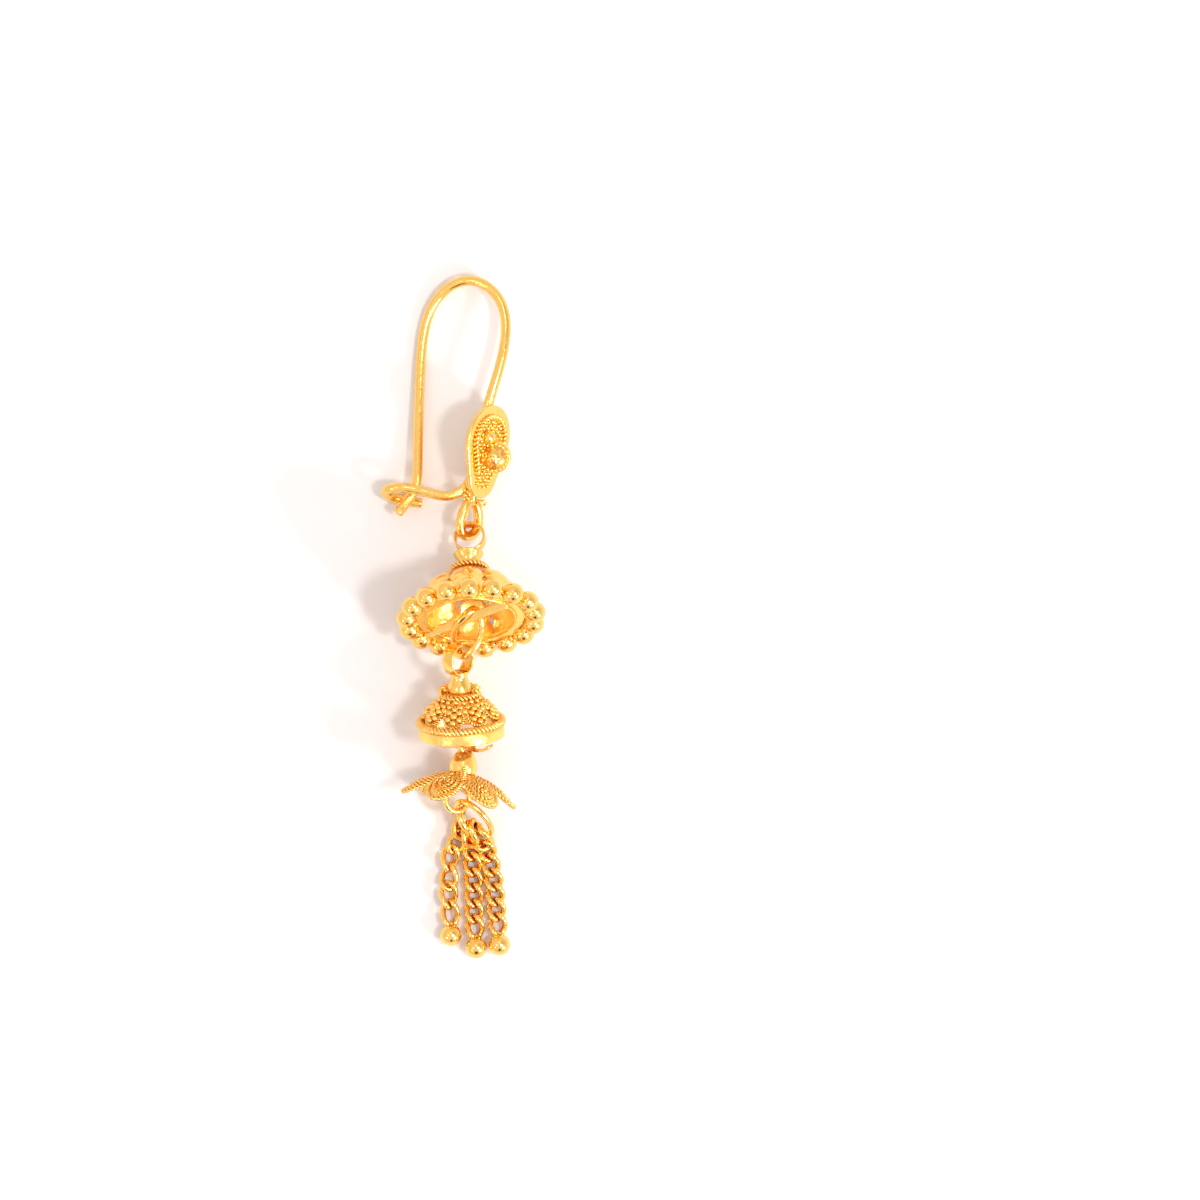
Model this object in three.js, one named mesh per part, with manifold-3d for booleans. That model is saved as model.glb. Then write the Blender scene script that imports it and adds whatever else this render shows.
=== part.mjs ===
// Yellow-gold hook earring, lying on a table with its hook away from the viewer. From top to bottom: a sprung
// ear wire with an egg-shaped plaque soldered to its front leg, a lobed cap with a beaded rim, an oval link,
// a filigree bell, a flower of six drooping petals, an oval ring, and three curb chains that end in balls.
// Soldered metal is one solid. The links pass through each other's eyes with a small clearance.
// Units are millimetres; +X is across the earring, +Y runs towards the hook and +Z is up from the table.

import * as THREE from "three";
import { mergeVertices } from "three/addons/utils/BufferGeometryUtils.js";
import Module from "manifold-3d";

const wasm = await Module();
wasm.setup();

// ---- Driving dimensions -------------------------------------------------------------------------------

const WIRE_DIAMETER = 0.88;

// Centre line of the ear wire: from its kinked tip, up the back leg, over the arch, down the front leg behind
// the plaque, then along the catch arm and round its U-shaped end.
const WIRE_ROUTE = [
  // x, y, z
  [-5.5, 9.05, 1.92],
  [-4.75, 10.0, 1.62],
  [-4.22, 10.85, 1.47],
  [-3.94, 11.9, 1.4],
  [-3.86, 14.2, 1.15],
  [-3.8, 17.4, 0.85],
  [-3.7, 20.7, 0.6],
  [-3.45, 24.0, 0.47],
  [-2.65, 26.85, 0.5],
  [-1.1, 28.6, 0.75],
  [0.6, 29.15, 1.05],
  [2.2, 28.6, 1.4],
  [3.35, 27.2, 1.8],
  [3.78, 25.2, 2.2],
  [3.5, 22.7, 2.55],
  [2.85, 20.3, 2.7],
  [2.15, 17.9, 2.6],
  [1.6, 15.4, 2.3],
  [1.15, 13.2, 2.1],
  [0.6, 11.6, 2.15],
  [-0.35, 10.7, 2.28],
  [-1.5, 10.42, 2.4],
  [-2.9, 10.68, 2.44],
  [-4.3, 11.0, 2.46],
  [-5.6, 11.15, 2.38],
  [-6.5, 11.05, 2.02],
  [-6.78, 10.75, 1.5],
  [-6.5, 10.45, 0.95],
  [-5.8, 10.2, 0.56],
  [-4.7, 9.95, 0.46],
  [-3.6, 9.78, 0.46],
];

// Egg-shaped plaque, seen along its own normal: a wide top and a narrower foot.
const PLAQUE = {
  centre: [2.22, 14.3, 3.02],
  lean: 11.5, // turn of its long axis from +Y towards +X
  pitch: 6, // rise of its long axis towards the arch
  facing: 34, // elevation of its normal above the table
  topRadius: 3.1,
  topOffset: 0.95, // from the plaque's centre to the centre of its round top, along its long axis
  footRadius: 1.4,
  footOffset: -2.8,
  thickness: 0.5,
  border: 0.9, // width of the plain border round the raised work
  relief: 0.28,
};

// Turned cup in the middle of the plaque and the small ball above it.
const ROSETTE = { base: 1.75, rim: 1.5, height: 1.3, dome: 1.6, ball: 0.5, ballOffset: 2.1 };

// Wire eye under the plaque, which carries the cap, and the solder between them.
const PLAQUE_EYE = { centre: [0.6, 8.12, 1.75], normal: [0.695, -0.177, 0.74], radius: 1.22, wire: 0.6 };
const PLAQUE_SOLDER = {
  route: [
    [0.7, 11.5, 2.15],
    [0.85, 10.4, 2.1],
    [0.72, 9.45, 1.75],
  ],
  diameter: 1.15,
};

const BEADED_CAP = {
  centre: [0.8, -0.26, 5.88], // centre of the mouth
  heading: -87.4, // direction that the mouth faces, seen from above
  rise: 28, // elevation of that direction
  beads: 17,
  beadRadius: 0.84,
  beadCircle: 5.62,
  beadDepth: -0.12, // height of the bead's centre above the mouth
  mouthRadius: 3.8,
  flangeRadius: 5.1,
  flange: 0.3,
  wall: 0.35,
  lobes: 8,
  lobeDepth: 0.07, // share of the radius by which the lobes stand out
  crownRadius: 1.68,
  crownRope: 0.36,
  crownHeight: 4.95,
  barTurn: 38, // turn of the crossbar in the mouth
  barOffset: 0.4, // distance of the crossbar from the mouth's centre
  barWidth: 0.8,
  barDepth: 0.3,
  neckFoot: 0.95,
  neckTop: 1.2,
  bailHeight: 7.95,
  bailTurn: 8,
};
const CAP_PROFILE = [
  // outer radius, height above the mouth
  [4.95, 0.1],
  [4.45, 1.2],
  [3.85, 2.35],
  [3.3, 3.2],
  [2.75, 3.85],
  [2.15, 4.45],
  [1.68, 4.95],
];

// Ribbon loops at the tops of the cap, the bell and the flower.
const CAP_BAIL = { radius: 1.4, ribbon: 0.22, width: 0.85 };
const BELL_BAIL = { radius: 1.45, ribbon: 0.22, width: 1.15 };
const FLOWER_BAIL = { radius: 0.9, ribbon: 0.2, width: 0.6 };

// Link between the cap's bar and the bell's bail, twisted so that it meets each of them squarely.
const CAP_LINK = {
  top: [0.79, 0.83, 6.34],
  bottom: [-0.14, -3.44, 5.06],
  halfWidth: 1.22,
  topSlope: -54, // rise of the link's ends, from left to right
  bottomSlope: 46.5,
  wire: 0.5,
};

const BELL = {
  centre: [-0.04, -10.51, 3.68], // centre of the mouth, at the band's foot
  heading: -87.7,
  rise: -15,
  bandRadius: 3.75,
  bandHeight: 1.25,
  wall: 0.3,
  rope: 0.46,
  ropeRadius: 3.55,
  ropeHeight: 1.42,
  clusters: 8,
  clusterTurn: 102,
  clusterRadius: 0.95,
  clusterDepth: 0.5,
  clusterSlope: 38,
  windowRadius: 0.4,
  windowHeight: 1.85,
  beadedRing: 1.6,
  beadedRingHeight: 4.1,
  beadedWire: 0.5,
  collarFoot: 1.0,
  collarTop: 0.85,
  collarHeight: 4.2,
  bailHeight: 7.0,
  bailTurn: -48,
  barTurn: 49,
  barWidth: 0.6,
  barDepth: 0.28,
  barBow: 0.75, // height of the crossbar's arch below the mouth
};
const BELL_PROFILE = [
  // outer radius, height above the mouth
  [3.5, 1.2],
  [3.35, 1.75],
  [2.85, 2.5],
  [2.3, 3.15],
  [1.9, 3.7],
  [1.6, 4.1],
];

const FLOWER = {
  centre: [0.0, -13.78, 4.45], // on the axis, at the petals' roots
  heading: -102.5,
  rise: 3,
  petals: 6,
  petalTurn: -6,
  petalRoot: 0.7,
  petalReach: 4.95,
  petalDrop: 2.25,
  petalArch: 0.45, // how far the petal bulges above the straight line from root to tip
  petalWidth: 2.6,
  petalThickness: 0.36,
  petalHollow: 0.2, // how far its edges curl down
  bailHeight: 2.72,
  bailTurn: -42,
};
const FLOWER_BOSS = [
  // radius, height above the petals' roots
  [0.45, 2.1],
  [0.82, 1.75],
  [1.1, 1.15],
  [1.15, 0.6],
  [0.85, 0.0],
];

// Wire eye under the flower and the oval ring that hangs from it.
const FLOWER_EYE = { centre: [-0.42, -15.8, 3.95], normal: [0.5, -0.15, 0.85], radius: 1.15, wire: 0.5 };
const FLOWER_STEM = { end: [-0.33, -14.7, 4.1], diameter: 0.6 };
const CHAIN_RING = {
  centre: [1.04, -17.54, 2.71],
  normal: [-0.46, -0.77, 0.57],
  along: [0.6, -0.49, -0.56],
  halfLength: 2.1,
  halfWidth: 1.3,
  wire: 0.5,
};

// Each chain: the route of its centre line, from the oval ring to its ball, and the ball's centre.
const CHAIN_DIAMETER = 1.0;
const BALL_RADIUS = 0.96;
const CHAINS = {
  left: {
    route: [
      [-0.2, -18.75, 1.12],
      [-0.62, -19.7, 0.8],
      [-0.93, -21.0, 0.62],
      [-0.98, -23.0, 0.56],
      [-1.0, -25.0, 0.56],
      [-1.02, -26.35, 0.62],
    ],
    ball: [-1.0, -27.72, BALL_RADIUS],
  },
  middle: {
    route: [
      [0.78, -19.35, 1.0],
      [0.8, -20.4, 0.78],
      [0.9, -22.2, 0.62],
      [1.0, -24.2, 0.56],
      [1.02, -26.0, 0.56],
      [1.08, -27.4, 0.62],
    ],
    ball: [1.19, -28.8, BALL_RADIUS],
  },
  right: {
    route: [
      [1.98, -19.55, 1.0],
      [2.2, -20.4, 0.78],
      [2.5, -21.8, 0.62],
      [2.78, -23.5, 0.56],
      [2.93, -25.3, 0.56],
      [3.05, -27.15, 0.62],
    ],
    ball: [3.21, -28.55, BALL_RADIUS],
  },
};

// ---- Small tools --------------------------------------------------------------------------------------

const radians = THREE.MathUtils.degToRad;
const vector = (p) => new THREE.Vector3(...p);

// A closed geometry as a manifold-3d solid.
function solidOf(geometry) {
  const bare = geometry.clone();
  bare.deleteAttribute("normal");
  bare.deleteAttribute("uv");
  const merged = mergeVertices(bare, 1e-4);
  const mesh = new wasm.Mesh({
    numProp: 3,
    vertProperties: new Float32Array(merged.attributes.position.array),
    triVerts: new Uint32Array(merged.index.array),
  });
  return new wasm.Manifold(mesh);
}

const joined = (solids) => solids.reduce((all, solid) => all.add(solid));

// A solid moved by a THREE.Matrix4.
const moved = (solid, matrix) => solid.transform(matrix.elements);

// Copies of a solid, evenly spaced about +Z.
const around = (solid, count, turn = 0) =>
  Array.from({ length: count }, (_, i) => solid.rotate([0, 0, turn + (360 * i) / count]));

// A named mesh of a solid.
function meshOf(name, solid, material) {
  const { vertProperties, triVerts, numProp } = solid.getMesh();
  const positions = new Float32Array((vertProperties.length / numProp) * 3);
  for (let i = 0; i < positions.length / 3; i++) {
    positions.set(vertProperties.subarray(i * numProp, i * numProp + 3), i * 3);
  }
  const geometry = new THREE.BufferGeometry();
  geometry.setAttribute("position", new THREE.BufferAttribute(positions, 3));
  geometry.setIndex(new THREE.BufferAttribute(new Uint32Array(triVerts), 1));
  geometry.computeVertexNormals();
  const mesh = new THREE.Mesh(geometry, material);
  mesh.name = name;
  return mesh;
}

// A grid of points that closes on itself both ways, as a ring does.
function ringGeometry(columns, rows, pointAt) {
  const positions = [];
  const index = [];
  for (let i = 0; i < columns; i++) {
    for (let j = 0; j < rows; j++) {
      positions.push(...pointAt(i, j));
      const a = i * rows + j;
      const b = ((i + 1) % columns) * rows + j;
      const c = ((i + 1) % columns) * rows + ((j + 1) % rows);
      const d = i * rows + ((j + 1) % rows);
      index.push(a, b, c, a, c, d);
    }
  }
  const geometry = new THREE.BufferGeometry();
  geometry.setAttribute("position", new THREE.Float32BufferAttribute(positions, 3));
  geometry.setIndex(index);
  return geometry;
}

// A solid of revolution about +Z that is open in the middle: [radius, z] points in a closed anticlockwise loop.
// The optional swell multiplies the radius as a function of the angle and the point's height.
function revolved(profile, columns, swell = () => 1) {
  const geometry = ringGeometry(columns, profile.length, (i, j) => {
    const angle = (2 * Math.PI * i) / columns;
    const [radius, z] = profile[j];
    const r = radius * swell(angle, z);
    return [r * Math.cos(angle), r * Math.sin(angle), z];
  });
  return solidOf(geometry);
}

// A dome's wall: its outer profile of [radius, height] points and the same profile one wall inwards.
// The mouth is at zero and the dome rises along -Z.
function domeWall(profile, wall, columns, swell) {
  const outer = profile.map(([r, h]) => [r, -h]).reverse();
  const inner = profile.map(([r, h]) => [r - wall, -h]);
  return revolved([...outer, ...inner], columns, swell);
}

// A flat band about +Z, from one height to another.
const band = (radius, wall, low, high, columns) =>
  revolved(
    [
      [radius, low],
      [radius, high],
      [radius - wall, high],
      [radius - wall, low],
    ],
    columns,
  );

// A solid of revolution about +Z whose [radius, z] profile is closed by the axis, from its foot to its top.
function turned(profile, columns) {
  const [foot, top] = [profile[0], profile.at(-1)];
  const points = [[0, foot[1]], ...profile, [0, top[1]]].map(([radius, z]) => new THREE.Vector2(radius, z));
  return solidOf(new THREE.LatheGeometry(points, columns).rotateX(Math.PI / 2));
}

// A round wire along a closed curve about the origin, given as a function of the angle.
function wireLoop(pointAt, wire, columns = 24, sides = 8) {
  const curve = Array.from({ length: columns }, (_, i) => pointAt((2 * Math.PI * i) / columns));
  const frames = curve.map((point, i) => {
    const next = curve[(i + 1) % columns];
    const tangent = next.clone().sub(curve[(i + columns - 1) % columns]).normalize();
    const outwards = point.clone().projectOnPlane(tangent).normalize();
    return [outwards, outwards.clone().cross(tangent)];
  });
  const geometry = ringGeometry(columns, sides, (i, j) => {
    const angle = (2 * Math.PI * j) / sides;
    const [outwards, aside] = frames[i];
    return curve[i]
      .clone()
      .addScaledVector(outwards, (wire / 2) * Math.cos(angle))
      .addScaledVector(aside, (wire / 2) * Math.sin(angle))
      .toArray();
  });
  return solidOf(geometry);
}

// A round wire bent into an oval about +Z, its long way along +X.
const wireRing = (halfLength, halfWidth, wire, columns, sides) =>
  wireLoop(
    (angle) => new THREE.Vector3(halfLength * Math.cos(angle), halfWidth * Math.sin(angle), 0),
    wire,
    columns,
    sides,
  );

const sphere = (radius, at, detail = 1) =>
  solidOf(new THREE.IcosahedronGeometry(radius, detail)).translate(at);

// A round rod through a list of points.
function rod(route, diameter, sides, steps) {
  const section = new THREE.Shape();
  section.absellipse(0, 0, diameter / 2, diameter / 2, 0, 2 * Math.PI);
  const extrudePath = new THREE.CatmullRomCurve3(route.map(vector), false, "centripetal");
  return solidOf(new THREE.ExtrudeGeometry(section, { steps, extrudePath, curveSegments: sides }));
}

// The frame of a hanging piece: +Z out of its mouth, +X level, and +Y in the mouth's plane, upwards.
function hangingFrame({ centre, heading, rise }) {
  const turn = radians(heading);
  const level = Math.cos(radians(rise));
  const mouth = new THREE.Vector3(Math.cos(turn) * level, Math.sin(turn) * level, Math.sin(radians(rise)));
  const across = new THREE.Vector3(-Math.sin(turn), Math.cos(turn), 0);
  const upward = mouth.clone().cross(across);
  return new THREE.Matrix4().makeBasis(across, upward, mouth).setPosition(vector(centre));
}

// The frame of a ring: +Z along its normal and +X as near as can be to the given direction.
function ringFrame(centre, normal, along = [0, -1, 0]) {
  const z = vector(normal).normalize();
  const x = vector(along).projectOnPlane(z).normalize();
  const y = z.clone().cross(x);
  return new THREE.Matrix4().makeBasis(x, y, z).setPosition(vector(centre));
}

// The frame of the plaque: +Z out of its face, +Y along it towards the arch.
function plaqueFrame({ centre, lean, pitch, facing }) {
  const level = Math.cos(radians(pitch));
  const along = new THREE.Vector3(
    Math.sin(radians(lean)) * level,
    Math.cos(radians(lean)) * level,
    Math.sin(radians(pitch)),
  );
  const right = along.clone().cross(new THREE.Vector3(0, 0, 1)).normalize();
  const normal = right.clone().applyAxisAngle(along, -radians(facing));
  const across = along.clone().cross(normal);
  return new THREE.Matrix4().makeBasis(across, along, normal).setPosition(vector(centre));
}

// A bail is a ribbon ring on the axis of its piece, at a height above the mouth, turned about that axis.
const bailOf = ({ radius, ribbon, width }, height, turn) =>
  band(radius, ribbon, -width / 2, width / 2, 20)
    .rotate([90, 0, turn])
    .translate([0, 0, -height]);

// ---- Pieces -------------------------------------------------------------------------------------------

// The plaque's outline at an inset from its edge: two arcs joined by their tangents.
function plaqueShape(inset) {
  const { topRadius, topOffset, footRadius, footOffset } = PLAQUE;
  const tilt = Math.asin((topRadius - footRadius) / (topOffset - footOffset));
  const shape = new THREE.Shape();
  shape.absarc(0, topOffset, topRadius - inset, -tilt, Math.PI + tilt, false);
  shape.absarc(0, footOffset, footRadius - inset, Math.PI + tilt, 2 * Math.PI - tilt, false);
  shape.closePath();
  return shape;
}

function earHook() {
  const { thickness, border, relief } = PLAQUE;
  const extruded = (shape, depth) =>
    solidOf(new THREE.ExtrudeGeometry(shape, { depth, bevelEnabled: false, curveSegments: 12 }));
  const plate = extruded(plaqueShape(0), thickness).translate([0, 0, -thickness]);
  const raised = extruded(plaqueShape(border), thickness + relief).translate([0, 0, -thickness]);
  const { base, rim, height, dome, ball, ballOffset } = ROSETTE;
  const cup = turned(
    [
      [base, -thickness / 2],
      [base, relief + 0.1],
      [rim - 0.1, relief + 0.3],
      [rim, height],
      [rim - 0.3, height],
      [rim - 0.5, height - 0.25],
      [rim / 3, dome],
    ],
    20,
  );
  const stud = sphere(ball, [0, ballOffset, relief + ball / 2], 1);
  const plaque = moved(joined([plate, raised, cup, stud]), plaqueFrame(PLAQUE));
  const ring = wireRing(PLAQUE_EYE.radius, PLAQUE_EYE.radius, PLAQUE_EYE.wire);
  const eye = moved(ring, ringFrame(PLAQUE_EYE.centre, PLAQUE_EYE.normal));
  const wire = rod(WIRE_ROUTE, WIRE_DIAMETER, 8, 76);
  const solder = rod(PLAQUE_SOLDER.route, PLAQUE_SOLDER.diameter, 8, 3);
  return joined([wire, plaque, eye, solder]);
}

function beadedCap() {
  const cap = BEADED_CAP;
  const { crownRadius, crownRope, crownHeight, bailHeight, barWidth, barDepth } = cap;
  const lobe = (angle, z) => {
    const ridge = 2 * Math.abs(Math.sin((cap.lobes * angle) / 2)) - 1.2;
    return 1 + cap.lobeDepth * ridge * Math.sin((Math.PI * -z) / crownHeight);
  };
  const dome = domeWall(CAP_PROFILE, cap.wall, 32, lobe);
  const flange = band(cap.flangeRadius, cap.flangeRadius - cap.mouthRadius, -cap.flange, 0, 34);
  const beads = around(sphere(cap.beadRadius, [0, cap.beadCircle, cap.beadDepth]), cap.beads);
  const crown = wireRing(crownRadius, crownRadius, crownRope, 18, 6).translate([0, 0, -crownHeight]);
  const neck = turned(
    [
      [cap.neckTop, -bailHeight + CAP_BAIL.radius - CAP_BAIL.ribbon / 2],
      [cap.neckFoot, -crownHeight - 0.2],
      [crownRadius, -crownHeight],
      [crownRadius + 0.1, -crownHeight + 0.3],
    ],
    16,
  );
  const bar = solidOf(new THREE.BoxGeometry(2 * cap.mouthRadius + 0.5, barWidth, barDepth))
    .translate([0, cap.barOffset, -barDepth / 3])
    .rotate([0, 0, cap.barTurn]);
  const bail = bailOf(CAP_BAIL, bailHeight, cap.bailTurn);
  return moved(joined([dome, flange, crown, neck, bar, bail, ...beads]), hangingFrame(cap));
}

function capLink() {
  const { top, bottom, halfWidth, topSlope, bottomSlope, wire } = CAP_LINK;
  const half = vector(bottom).sub(vector(top)).multiplyScalar(0.5);
  const level = new THREE.Vector3(0, 0, 1).cross(half).normalize();
  const upward = half.clone().normalize().cross(level);
  const pointAt = (angle) => {
    const share = (1 + Math.cos(angle)) / 2;
    const slope = radians(THREE.MathUtils.lerp(topSlope, bottomSlope, share));
    return half
      .clone()
      .multiplyScalar(Math.cos(angle))
      .addScaledVector(level, halfWidth * Math.sin(angle) * Math.cos(slope))
      .addScaledVector(upward, halfWidth * Math.sin(angle) * Math.sin(slope));
  };
  return wireLoop(pointAt, wire, 28).translate(vector(top).add(half).toArray());
}

// A strip that bows out of the mouth between two points of the rim.
function bowedBar({ bandRadius, barWidth, barDepth, barBow, barTurn }) {
  const steps = 8;
  const arch = (x) => barBow * (1 - (x / bandRadius) ** 2);
  const reach = Array.from({ length: steps + 1 }, (_, i) => bandRadius * ((2 * i) / steps - 1));
  const low = reach.map((x) => new THREE.Vector2(x, arch(x) - barDepth / 2));
  const high = reach.map((x) => new THREE.Vector2(x, arch(x) + barDepth / 2)).reverse();
  const strip = new THREE.ExtrudeGeometry(new THREE.Shape([...low, ...high]), {
    depth: barWidth,
    bevelEnabled: false,
  });
  return solidOf(strip)
    .translate([0, 0, -barWidth / 2])
    .rotate([90, 0, barTurn]);
}

function filigreeBell() {
  const bell = BELL;
  const { clusters, clusterRadius, clusterDepth, windowRadius, beadedRing, beadedRingHeight } = bell;
  const [ledgeRadius, ledgeHeight] = BELL_PROFILE[3];
  const shell = domeWall(BELL_PROFILE, bell.wall, 32);
  const rim = band(bell.bandRadius, bell.wall, -bell.bandHeight, 0, 32);
  const rope = wireRing(bell.ropeRadius, bell.ropeRadius, bell.rope, 32, 6).translate([0, 0, -bell.ropeHeight]);
  const window = solidOf(new THREE.CylinderGeometry(windowRadius, windowRadius, 2, 8)).rotate([0, 0, 90]);
  const windows = around(
    window.translate([BELL_PROFILE[1][0], 0, -bell.windowHeight]),
    clusters,
    bell.clusterTurn + 180 / clusters,
  );
  const pad = solidOf(new THREE.CylinderGeometry(clusterRadius * 0.7, clusterRadius, clusterDepth, 7))
    .rotate([0, 0, -90])
    .rotate([0, bell.clusterSlope, 0])
    .translate([ledgeRadius + 0.3, 0, -ledgeHeight + 0.35]);
  const beads = wireRing(beadedRing, beadedRing, bell.beadedWire, 20, 6).translate([0, 0, -beadedRingHeight]);
  const collar = turned(
    [
      [bell.collarTop, -bell.bailHeight + BELL_BAIL.radius - BELL_BAIL.ribbon / 2],
      [bell.collarFoot, -bell.collarHeight - 0.7],
      [bell.collarFoot * 0.8, -bell.collarHeight - 0.1],
      [beadedRing, -beadedRingHeight],
      [beadedRing, -beadedRingHeight + 0.25],
    ],
    16,
  );
  const bail = bailOf(BELL_BAIL, bell.bailHeight, bell.bailTurn);
  const body = joined([shell, ...around(pad, clusters, bell.clusterTurn)]).subtract(joined(windows));
  return moved(joined([body, rim, rope, beads, collar, bail, bowedBar(bell)]), hangingFrame(bell));
}

// One petal along +X: a rounded tongue that arches outwards and droops to its tip.
function petal() {
  const { petalRoot, petalReach, petalDrop, petalArch, petalWidth, petalThickness, petalHollow } = FLOWER;
  const rows = 8;
  const across = 5;
  const widest = 0.62;
  const halfWidthAt = (t) => {
    const share = t < widest ? 0.3 + 0.7 * Math.sin((Math.PI * t) / (2 * widest)) : 1;
    const end = Math.max(0, (t - widest) / (1 - widest));
    return (petalWidth / 2) * share * Math.sqrt(1 - 0.9 * end * end);
  };
  const positions = [];
  for (const face of [-petalThickness / 2, petalThickness / 2]) {
    for (let i = 0; i <= rows; i++) {
      const t = Math.sin((Math.PI * i) / (2 * rows));
      for (let j = 0; j < across; j++) {
        const s = (2 * j) / (across - 1) - 1;
        const x = petalRoot + (petalReach - petalRoot) * t - 0.3 * s * s * t * t;
        const z = petalDrop * t - petalArch * Math.sin(Math.PI * t) + petalHollow * s * s;
        positions.push(x, s * halfWidthAt(t), z + face);
      }
    }
  }
  const count = (rows + 1) * across;
  const index = [];
  const quad = (a, b, c, d) => index.push(a, b, c, a, c, d);
  for (let i = 0; i < rows; i++) {
    for (let j = 0; j < across - 1; j++) {
      const a = i * across + j;
      quad(a, a + 1, a + across + 1, a + across);
      quad(count + a, count + a + across, count + a + across + 1, count + a + 1);
    }
    const low = i * across;
    const high = low + across - 1;
    quad(low, low + across, count + low + across, count + low);
    quad(high, count + high, count + high + across, high + across);
  }
  for (let j = 0; j < across - 1; j++) {
    const end = rows * across + j;
    quad(j, count + j, count + j + 1, j + 1);
    quad(end, end + 1, count + end + 1, count + end);
  }
  const geometry = new THREE.BufferGeometry();
  geometry.setAttribute("position", new THREE.Float32BufferAttribute(positions, 3));
  geometry.setIndex(index);
  return solidOf(geometry);
}

function flowerCap() {
  const flower = FLOWER;
  const petals = around(petal(), flower.petals, flower.petalTurn);
  const boss = turned(
    FLOWER_BOSS.map(([radius, height]) => [radius, -height]),
    16,
  );
  const bail = bailOf(FLOWER_BAIL, flower.bailHeight, flower.bailTurn);
  const body = moved(joined([...petals, boss, bail]), hangingFrame(flower));
  const ring = wireRing(FLOWER_EYE.radius, FLOWER_EYE.radius, FLOWER_EYE.wire);
  const eye = moved(ring, ringFrame(FLOWER_EYE.centre, FLOWER_EYE.normal));
  const stem = rod([flower.centre, FLOWER_STEM.end], FLOWER_STEM.diameter, 8, 1);
  return joined([body, eye, stem]);
}

function chainRing() {
  const { centre, normal, along, halfLength, halfWidth, wire } = CHAIN_RING;
  return moved(wireRing(halfLength, halfWidth, wire), ringFrame(centre, normal, along));
}

// ---- The earring --------------------------------------------------------------------------------------

const gold = () => new THREE.MeshStandardMaterial({ color: 0xf5b348, metalness: 1, roughness: 0.22 });

const earring = new THREE.Group();
earring.add(meshOf("ear_hook", earHook(), gold()));
earring.add(meshOf("beaded_cap", beadedCap(), gold()));
earring.add(meshOf("cap_link", capLink(), gold()));
earring.add(meshOf("filigree_bell", filigreeBell(), gold()));
earring.add(meshOf("flower_cap", flowerCap(), gold()));
earring.add(meshOf("chain_ring", chainRing(), gold()));
for (const [side, { route, ball }] of Object.entries(CHAINS)) {
  earring.add(meshOf(`chain_${side}`, rod(route, CHAIN_DIAMETER, 8, 5), gold()));
  earring.add(meshOf(`end_ball_${side}`, sphere(BALL_RADIUS, ball, 2), gold()));
}

// The origin is the middle of the earring's footprint, on the table.
const box = new THREE.Box3().setFromObject(earring);
const middle = box.getCenter(new THREE.Vector3());
earring.position.set(-middle.x, -middle.y, -box.min.z);

export default earring;
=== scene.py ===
import bpy
import numpy as np
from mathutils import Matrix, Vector


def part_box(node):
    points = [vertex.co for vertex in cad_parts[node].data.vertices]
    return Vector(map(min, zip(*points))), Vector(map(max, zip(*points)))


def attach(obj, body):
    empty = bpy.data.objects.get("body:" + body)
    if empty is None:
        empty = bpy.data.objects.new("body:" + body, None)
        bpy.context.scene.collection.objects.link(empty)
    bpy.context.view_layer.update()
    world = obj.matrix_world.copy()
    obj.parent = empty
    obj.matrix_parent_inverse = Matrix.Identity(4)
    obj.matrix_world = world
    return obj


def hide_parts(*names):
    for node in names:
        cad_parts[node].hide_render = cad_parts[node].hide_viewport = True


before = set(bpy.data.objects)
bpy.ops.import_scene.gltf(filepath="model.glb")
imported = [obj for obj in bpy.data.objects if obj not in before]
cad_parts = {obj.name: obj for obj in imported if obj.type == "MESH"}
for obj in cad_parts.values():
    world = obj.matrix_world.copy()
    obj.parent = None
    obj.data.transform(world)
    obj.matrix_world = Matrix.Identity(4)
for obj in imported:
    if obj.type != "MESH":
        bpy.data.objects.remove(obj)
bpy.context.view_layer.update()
print("frame loaded")

# Everything below is drawn in millimetres. The left ball's centre says where the drawing lies in the frame.
mm = 0.001
tau = 2 * np.pi
leftBall = (-1.0, -27.72, 0.96)
low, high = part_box("end_ball_left")
shift = (np.array(low) + np.array(high)) / 2 / mm - np.array(leftBall)


def unit(v):
    return v / np.linalg.norm(v, axis=-1, keepdims=True)


def even(curve, count):
    # the same line with points at equal distances
    travelled = np.concatenate([[0], np.cumsum(np.linalg.norm(np.diff(curve, axis=0), axis=1))])
    wanted = np.linspace(0, travelled[-1], count)
    return np.stack([np.interp(wanted, travelled, column) for column in curve.T], -1)


def spline(points, count):
    # natural cubic spline: each span is the cubic whose bends at both ends come from one linear system
    p = np.array(points, float)
    gaps = np.sqrt(np.linalg.norm(np.diff(p, axis=0), axis=1))
    knots = np.concatenate([[0], np.cumsum(gaps)])
    inner = np.arange(1, len(p) - 1)
    system = np.eye(len(p))
    system[inner, inner - 1] = gaps[:-1]
    system[inner, inner] = 2 * (gaps[:-1] + gaps[1:])
    system[inner, inner + 1] = gaps[1:]
    pull = np.zeros_like(p)
    pull[1:-1] = 6 * np.diff(np.diff(p, axis=0) / gaps[:, None], axis=0)
    bend = np.linalg.solve(system, pull)
    at = np.linspace(0, knots[-1], 30 * len(p))
    k = np.clip(np.searchsorted(knots, at, side="right") - 1, 0, len(p) - 2)
    width, past, left = gaps[k][:, None], (at - knots[k])[:, None], (knots[k + 1] - at)[:, None]
    curve = (bend[k] * left**3 + bend[k + 1] * past**3) / (6 * width)
    curve += (p[k] / width - bend[k] * width / 6) * left
    curve += (p[k + 1] / width - bend[k + 1] * width / 6) * past
    return even(curve, count)


def arc(angle):
    return np.stack([np.cos(angle), np.sin(angle)], -1)


def circle(sides, start=0.0):
    # points (cos a, sin a) all round the origin
    return arc(start + tau * np.arange(sides) / sides)


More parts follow.
